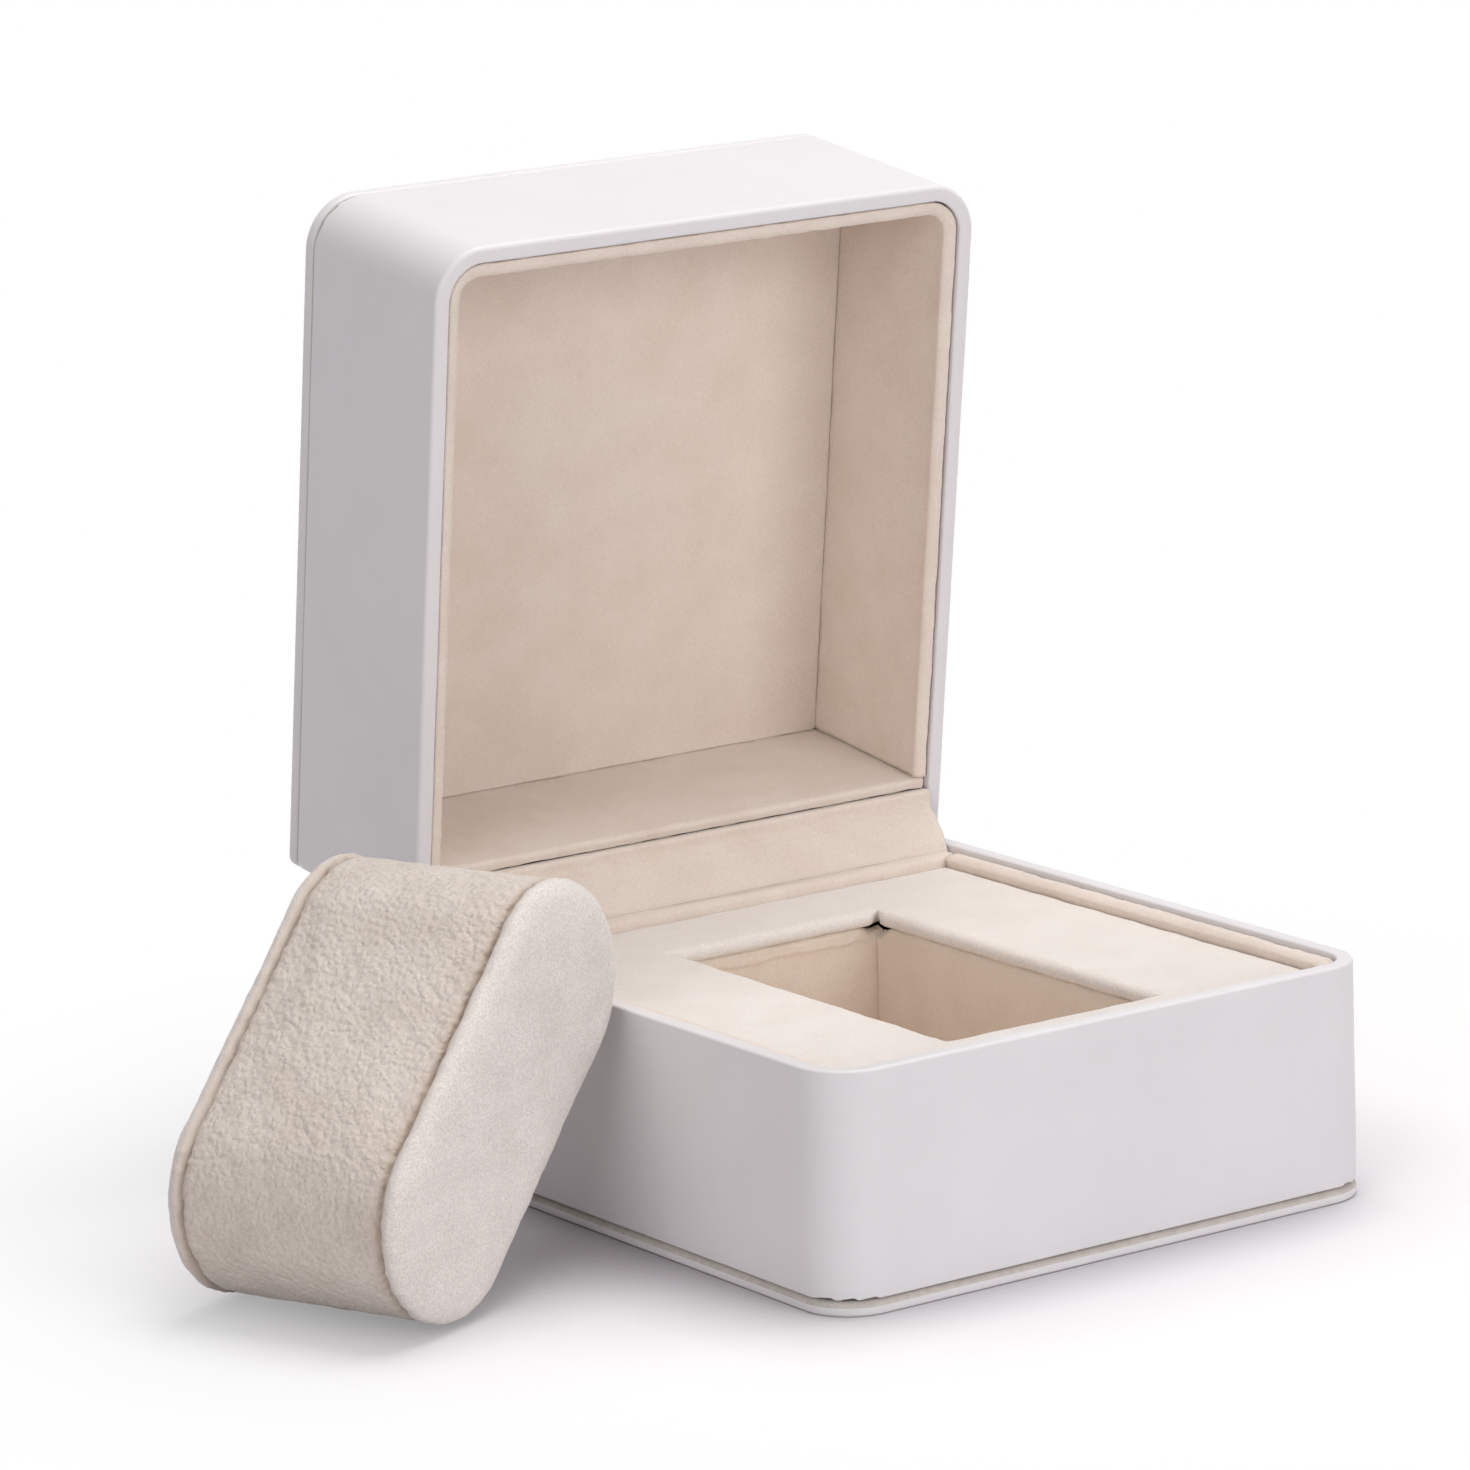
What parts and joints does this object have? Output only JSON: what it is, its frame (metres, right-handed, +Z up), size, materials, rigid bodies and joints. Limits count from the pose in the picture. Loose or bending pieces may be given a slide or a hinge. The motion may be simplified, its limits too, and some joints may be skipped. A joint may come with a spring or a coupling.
{
  "type": "watch travel case",
  "caption": "Open square watch case with rounded front corners, white leatherette shell, cream suede lining and well, hinged lid, and its stadium-shaped watch pillow leaning beside it.",
  "frame": {"origin": "centre of the base's underside, on the surface that the case stands on", "axes": "+Z up, front of the case towards -Y, hinge along X at the back, pillow on the -X side"},
  "size_m": [0.1822, 0.1532, 0.1574],
  "materials": {
    "white_leatherette": "smooth satin white leatherette",
    "cream_suede": "short nap suede cloth",
    "pillow_suede": "pebbled suede cloth over foam",
    "fibreboard": "raw fibreboard",
    "spring_steel": "plated spring steel"
  },
  "bodies": {
    "base": {"base_bottom_panel": "white_leatherette", "base_wall": "white_leatherette", "base_liner": "cream_suede", "base_back_liner": "cream_suede", "base_hinge_rail": "fibreboard", "deck_panel": "cream_suede", "deck_support_left": "fibreboard", "deck_support_right": "fibreboard", "well_wall_left": "cream_suede", "well_wall_right": "cream_suede", "well_wall_front": "cream_suede", "well_wall_back": "cream_suede", "well_floor": "cream_suede", "hinge_leaf_lower_left": "spring_steel", "hinge_leaf_lower_right": "spring_steel", "hinge_pin_left": "spring_steel", "hinge_pin_right": "spring_steel", "hinge_spring_left": "spring_steel", "hinge_spring_right": "spring_steel", "hinge_cover_strip": "cream_suede", "pillow_band": "pillow_suede", "pillow_end_front": "pillow_suede", "pillow_end_rear": "pillow_suede"},
    "lid": {"lid_top_panel": "white_leatherette", "lid_wall": "white_leatherette", "lid_liner": "cream_suede", "lid_back_liner": "cream_suede", "lid_ceiling_panel": "cream_suede", "lid_hinge_rail": "fibreboard", "hinge_leaf_upper_left": "spring_steel", "hinge_leaf_upper_right": "spring_steel"}
  },
  "joints": [
    {"name": "lid_hinge", "type": "hinge", "parent": "base", "child": "lid", "pos_m": [0, 0.0573, 0.0387], "axis": [1, 0, 0], "range_deg": [0, 82.3], "deforming": ["hinge_cover_strip"]}
  ]
}
